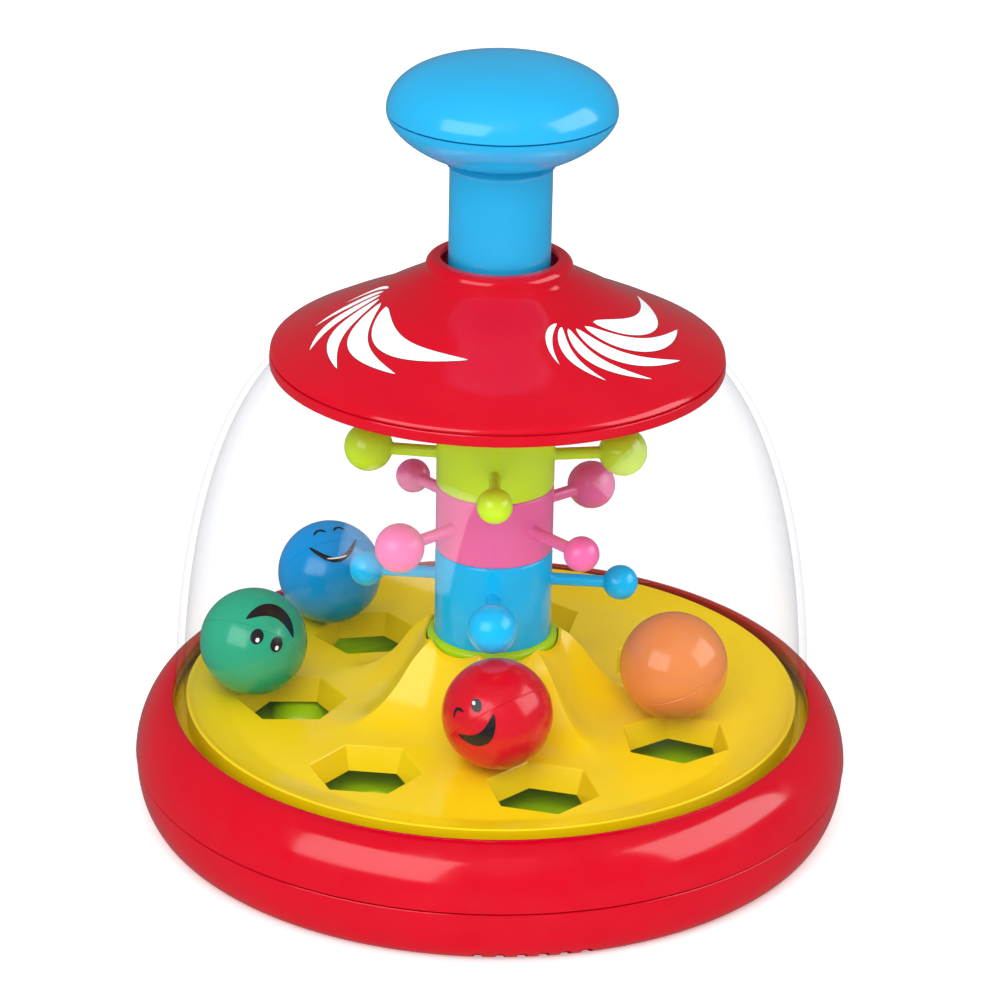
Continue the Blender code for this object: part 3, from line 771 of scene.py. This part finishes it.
def arm(ball_radius):
    """Rod with a flared root and a ball end in one outline, along +Z."""
    root = [(0, DRUM_RADIUS - 2), (2.9, DRUM_RADIUS - 2), (2.9, DRUM_RADIUS - 0.35)]
    flare = arc(2.9, DRUM_RADIUS + 1.05, 1.3, 1.4, -90, -180, 6)
    neck = math.degrees(math.asin((ARM_RADIUS + 0.25) / ball_radius))
    ball = arc(0, ARM_CIRCLE, ball_radius, ball_radius, neck - 90, 90, 22)
    ball[-1] = (0, ARM_CIRCLE + ball_radius)
    joint = [(ARM_RADIUS, ball[0][1] - 0.6), (ARM_RADIUS + 0.07, ball[0][1] - 0.25)]
    return turned(root + flare + joint + ball, SIDES_SMALL)


# Plunger

def knob_crown():
    """Upper half of the knob, a shallow cushion of a dome."""
    shares = eased(0.0, 1.0, 26, 1.9)
    crown = [(superellipse_radius(s, KNOB_RADIUS, 2.8, 2.2), KNOB_MIDDLE + KNOB_TOP_RISE * s)
             for s in shares]
    crown[-1] = (0, crown[-1][1])
    edge = [(KNOB_INNER_RADIUS, KNOB_SEAM + KNOB_GAP), (KNOB_RADIUS - 0.35, KNOB_SEAM + KNOB_GAP),
            (KNOB_RADIUS - 0.1, KNOB_SEAM + 0.45)]
    inside = [(0, 201.8)] + smooth_curve([(14, 201.2), (22, 198.6), (26.6, 194.2)], 4)
    turned_piece("knob_crown", inside + edge + crown, SIDES_MEDIUM + 32, "blue", "plunger",
                 "knob_cap", slot="blue_plastic")


def knob_stem():
    """Lower half of the knob, moulded in one with the hollow stem."""
    bowl = []
    for share in eased(0.05, 0.86, 18):
        radius = superellipse_radius(share, KNOB_RADIUS, 1.81, 1.68)
        bowl.append((radius, KNOB_MIDDLE - KNOB_BOWL_DROP * share))
    bowl.reverse()
    joint = [(STEM_RADIUS, 176.4), (STEM_RADIUS + 0.1, 177.2), (STEM_RADIUS + 0.7, 177.9)]
    stem = [(STEM_RADIUS - 0.4, STEM_BOTTOM), (STEM_RADIUS, STEM_BOTTOM + 0.4)]
    seam = [(KNOB_RADIUS - 0.35, KNOB_SEAM)]
    inner = [(KNOB_INNER_RADIUS, KNOB_SEAM), (25.3, 188.2), (22.4, 185.6), (18.5, 183.4),
             (2.9, 183.4), (2.9, 180.2), (STEM_BORE, 180.2), (STEM_BORE, STEM_BOTTOM)]
    turned_piece("knob_stem", stem + joint + bowl + seam + inner, SIDES_MEDIUM + 32, "blue",
                 "plunger", "plunger_stem", slot="blue_plastic")


def spring():
    """Compression spring with closed end turns, pressed flat between seat and plunger."""
    coil_radius, wire_radius = 8.6, 0.7
    low, high = SPRING_SEAT_TOP + 0.4 + wire_radius, SPRING_TOP - wire_radius
    turns, steps, sides = 9, 30, 10
    total = turns * steps
    dead = 1.0 / turns
    data = bmesh.new()
    rings = []
    for i in range(total + 1):
        share = i / total
        climb = min(max((share - dead) / (1 - 2 * dead), 0.0), 1.0)
        rise = 2 * wire_radius * (min(share / dead, 1.0) + max((share - 1 + dead) / dead, 0.0))
        height = low + rise + (high - low - 4 * wire_radius) * climb
        angle = 360 * i / steps
        ring = []
        for j in range(sides):
            around = 2 * math.pi * j / sides
            ring.append(data.verts.new(polar(coil_radius + wire_radius * math.cos(around), angle,
                                             height + wire_radius * math.sin(around))))
        rings.append(ring)
    for ring, following in zip(rings, rings[1:]):
        for j in range(sides):
            k = (j + 1) % sides
            data.faces.new((ring[j], following[j], following[k], ring[k]))
    data.faces.new(rings[0])
    data.faces.new(rings[-1][::-1])
    piece = new_object("spring_coil", data)
    finish_piece(piece, "steel", "root", "return_spring", slot="steel")
    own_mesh(piece)


# Balls

# Each ball's face: azimuth and elevation that it looks towards and its roll, in degrees, and
# the name of its shapes
FACES = {
    "green": (-65, 33, 149, "laugh"),
    "blue": (-80, 60, 8, "grin"),
    "red": (-118, 16, 39, "wink"),
    "orange": (62, 24, -15, "smile"),
}


def ball(name):
    """Two moulded halves with a fine tilted seam and a printed face."""
    low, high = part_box(f"ball_{name}")
    centre = (low + high) / 2 / MM
    groove_half, groove_depth = 0.9, 0.14
    upper = arc(0, 0, BALL_RADIUS, BALL_RADIUS, groove_half, 90, 34)
    lower = arc(0, 0, BALL_RADIUS, BALL_RADIUS, -90, -groove_half, 34)
    upper[-1] = (0, BALL_RADIUS)
    lower[0] = (0, -BALL_RADIUS)
    groove = [(BALL_RADIUS - groove_depth, -0.06), (BALL_RADIUS - groove_depth, 0.06)]
    azimuth, elevation, roll, look = FACES[name]
    facing = polar(1, azimuth) * math.cos(math.radians(elevation))
    facing.z = math.sin(math.radians(elevation))
    tilt = facing.to_track_quat("X", "Z").to_matrix().to_4x4()
    lean = Matrix.Rotation(math.radians(roll), 4, "X")
    data = turned(lower + groove + upper, SIDES_MEDIUM)
    bmesh.ops.transform(data, matrix=Matrix.Translation(centre) @ tilt @ lean, verts=data.verts)
    piece = new_object(f"{name}_ball", data)
    finish_piece(piece, f"ball_{name}", f"ball_{name}", f"ball_{name}",
                 slot=f"{name}_ball_plastic")
    face(name, look, centre, facing, math.radians(roll))


def face(name, look, centre, facing, roll):
    """Printed face: dark shapes just proud of the ball, and light glints on the eyes."""
    side = Vector((0, 0, 1)).cross(facing).normalized()
    up = facing.cross(side)
    right = side * math.cos(roll) + up * math.sin(roll)
    top = facing.cross(right)

    def placer(lift):
        def place(point):
            reach = max(point.length, 1e-6)
            flat = (right * point.x + top * point.y) / reach
            return centre + (facing * math.cos(reach) + flat * math.sin(reach)) \
                * (BALL_RADIUS + lift)
        return place

    ink = bmesh.new()
    light = bmesh.new()
    for shape in FACE_SHAPES[look]["ink"]:
        add_grid(ink, strip_grid(*shape, 28, 6), placer(INK_LIFT))
    for shape in FACE_SHAPES[look]["light"]:
        add_grid(light, strip_grid(*shape, 14, 4), placer(GLINT_LIFT))
    finish_piece(new_object(f"{name}_face", ink), "face_ink", f"ball_{name}",
                 slot=f"{name}_ball_plastic")
    finish_piece(new_object(f"{name}_face_light", light), "face_light", f"ball_{name}",
                 slot=f"{name}_ball_plastic")


def oval(x, y, half_width, half_height):
    """An upright oval as a strip: its middle line and its half width along it."""
    def line(t):
        return Vector((x, y + half_height * (2 * t - 1)))

    def width(t):
        return half_width * math.sqrt(max(1 - (2 * t - 1) ** 2, 0.0)) + 1e-4

    return line, width


def bow(start, sag, end, thick, power=1.0):
    """A line or a crescent that sags between two points; thickest in the middle."""
    a, b = Vector(start), Vector(end)
    control = (a + b) / 2 + Vector((0, 2 * sag))

    def width(t):
        return thick * (math.sin(math.pi * min(max(t, 0.0), 1.0)) ** power) + 0.004

    return quadratic(a, control, b), width


# Middles of the eyes across the face. Face shapes are strips, in radians from the face's middle.
EYES = (-0.2, 0.2)
FACE_SHAPES = {
    "laugh": {
        "ink": [oval(x, 0.16, 0.12, 0.15) for x in EYES]
        + [bow((-0.5, -0.1), -0.36, (0.5, -0.1), 0.15, 0.7)],
        "light": [oval(x - 0.03, 0.22, 0.035, 0.045) for x in EYES],
    },
    "grin": {
        "ink": [bow((x - 0.12, 0.26), 0.1, (x + 0.12, 0.26), 0.03, 0.4) for x in EYES]
        + [bow((-0.48, 0.02), -0.42, (0.48, 0.02), 0.05, 0.4)],
        "light": [bow((-0.2, -0.34), -0.03, (0.2, -0.34), 0.012, 0.5)],
    },
    "wink": {
        "ink": [bow((-0.34, 0.2), 0.12, (-0.08, 0.2), 0.028, 0.4), oval(0.2, 0.2, 0.1, 0.13),
                bow((-0.42, -0.08), -0.3, (0.42, -0.08), 0.12, 0.7)],
        "light": [oval(0.17, 0.26, 0.03, 0.04)],
    },
    "smile": {
        "ink": [oval(x, 0.18, 0.085, 0.11) for x in EYES]
        + [bow((-0.4, -0.1), -0.25, (0.4, -0.1), 0.045, 0.4)],
        "light": [oval(x - 0.025, 0.23, 0.026, 0.033) for x in EYES],
    },
}


# Inner pieces that keep their modelled shape

def inner_pieces():
    finishes = {
        "white": ("stem_bush", "stem_stop_ring", "clutch_ring", "nut_retainer", "thrust_washer",
                  "spindle_tube", "drive_nut"),
        "steel": ("twist_bar", "bar_screw", "spring_seat", "pivot_pin"),
        "brass": ("rotor_bush",),
    }
    for finish, nodes in finishes.items():
        for node in nodes:
            slots = frame["nodes"][node].data.materials
            slots.clear()
            slots.append(MATERIALS[finish])


# Studio

# Glow of the floor, and strength of the white surroundings as seen, as light, in reflections
FLOOR_GLOW = 0.3
WORLD_SEEN, WORLD_LIGHT, WORLD_REFLECTED = 1.0, 0.72, 0.17
FLOOR_RADIUS = 9000


def floor():
    """Pale studio floor, kept out of mirror reflections so that colours stay deep."""
    data = bmesh.new()
    bmesh.ops.create_circle(data, cap_ends=True, segments=64, radius=FLOOR_RADIUS)
    plane = new_object("studio_floor", data)
    material, nodes, links, shader = new_material("studio_floor")
    vary_colour(nodes, links, shader, (0.93, 0.93, 0.93), 0.01, 3)
    shader.inputs["Roughness"].default_value = 0.7
    shader.inputs["Emission Color"].default_value = (1, 1, 1, 1)
    shader.inputs["Emission Strength"].default_value = FLOOR_GLOW
    plane.data.materials.append(material)
    plane.visible_glossy = False


def world():
    """White surroundings: bright where the camera sees them, dim in reflections."""
    made = bpy.data.worlds.new("studio_world")
    bpy.context.scene.world = made
    made.use_nodes = True
    nodes, links = made.node_tree.nodes, made.node_tree.links
    light = nodes["Background"]
    light.inputs["Color"].default_value = (1, 1, 1, 1)
    light.inputs["Strength"].default_value = WORLD_LIGHT
    path = nodes.new("ShaderNodeLightPath")
    shader = light
    for output, strength in (("Is Glossy Ray", WORLD_REFLECTED), ("Is Camera Ray", WORLD_SEEN)):
        plain = nodes.new("ShaderNodeBackground")
        plain.inputs["Color"].default_value = (1, 1, 1, 1)
        plain.inputs["Strength"].default_value = strength
        mix = nodes.new("ShaderNodeMixShader")
        links.new(path.outputs[output], mix.inputs["Fac"])
        links.new(shader.outputs[0], mix.inputs[1])
        links.new(plain.outputs["Background"], mix.inputs[2])
        shader = mix
    links.new(shader.outputs[0], nodes["World Output"].inputs["Surface"])


# Lights: azimuth from the front towards +X and elevation in degrees, distance, width and height
# in metres, and radiance. Softboxes show in reflections; fills only light.
SOFTBOXES = {
    "left": (-38, 27, 1.25, 1.05, 0.8, 3.1),
    "right": (82, 27, 1.25, 1.15, 0.8, 3.3),
}
FILLS = {
    "front": (-8, 40, 2.0, 1.5, 1.2, 4.3),
    "above": (15, 75, 2.2, 3.0, 3.0, 0.8),
}


def place_lights(kind, table, glossy):
    target = Vector((0, 0, 0.1))
    for name, (azimuth, elevation, distance, width, height, radiance) in table.items():
        turn, climb = math.radians(azimuth), math.radians(elevation)
        direction = Vector((math.sin(turn) * math.cos(climb), -math.cos(turn) * math.cos(climb),
                            math.sin(climb)))
        light = bpy.data.lights.new(f"{kind}_{name}", "AREA")
        light.shape = "RECTANGLE"
        light.size, light.size_y = width, height
        light.energy = radiance * math.pi * width * height
        lamp = bpy.data.objects.new(f"{kind}_{name}", light)
        lamp.location = target + direction * distance
        lamp.rotation_euler = (-direction).to_track_quat("-Z", "Y").to_euler()
        lamp.visible_glossy = glossy
        lamp.visible_diffuse = not glossy
        bpy.context.scene.collection.objects.link(lamp)


def camera():
    """A long lens a little under a metre away, looking down on the top."""
    data = bpy.data.cameras.new("camera")
    data.lens, data.sensor_width = 134.8, 36.0
    data.clip_start, data.clip_end = 0.01, 50
    made = bpy.data.objects.new("camera", data)
    pitch, yaw, roll = 0.3991, -0.0015, 0.0202
    made.matrix_world = (Matrix.Translation((0, -0.9005, 0.46582))
                         @ Matrix.Rotation(yaw, 4, "Z")
                         @ Matrix.Rotation(math.pi / 2 - pitch, 4, "X")
                         @ Matrix.Rotation(roll, 4, "Z"))
    bpy.context.scene.collection.objects.link(made)
    bpy.context.scene.camera = made


MATERIALS = make_materials()
camera()
base_bottom()
base_ring()
clear_dome()
saucer()
saucer_underplate()
casing_screws()
saucer_prints()
pocket_tray()
kicker_disc()
for drum_colour in DRUMS:
    drum(drum_colour)
knob_crown()
knob_stem()
spring()
for ball_name in FACES:
    ball(ball_name)
inner_pieces()
floor()
world()
place_lights("softbox", SOFTBOXES, True)
place_lights("fill", FILLS, False)
bpy.context.scene.view_settings.view_transform = "Standard"
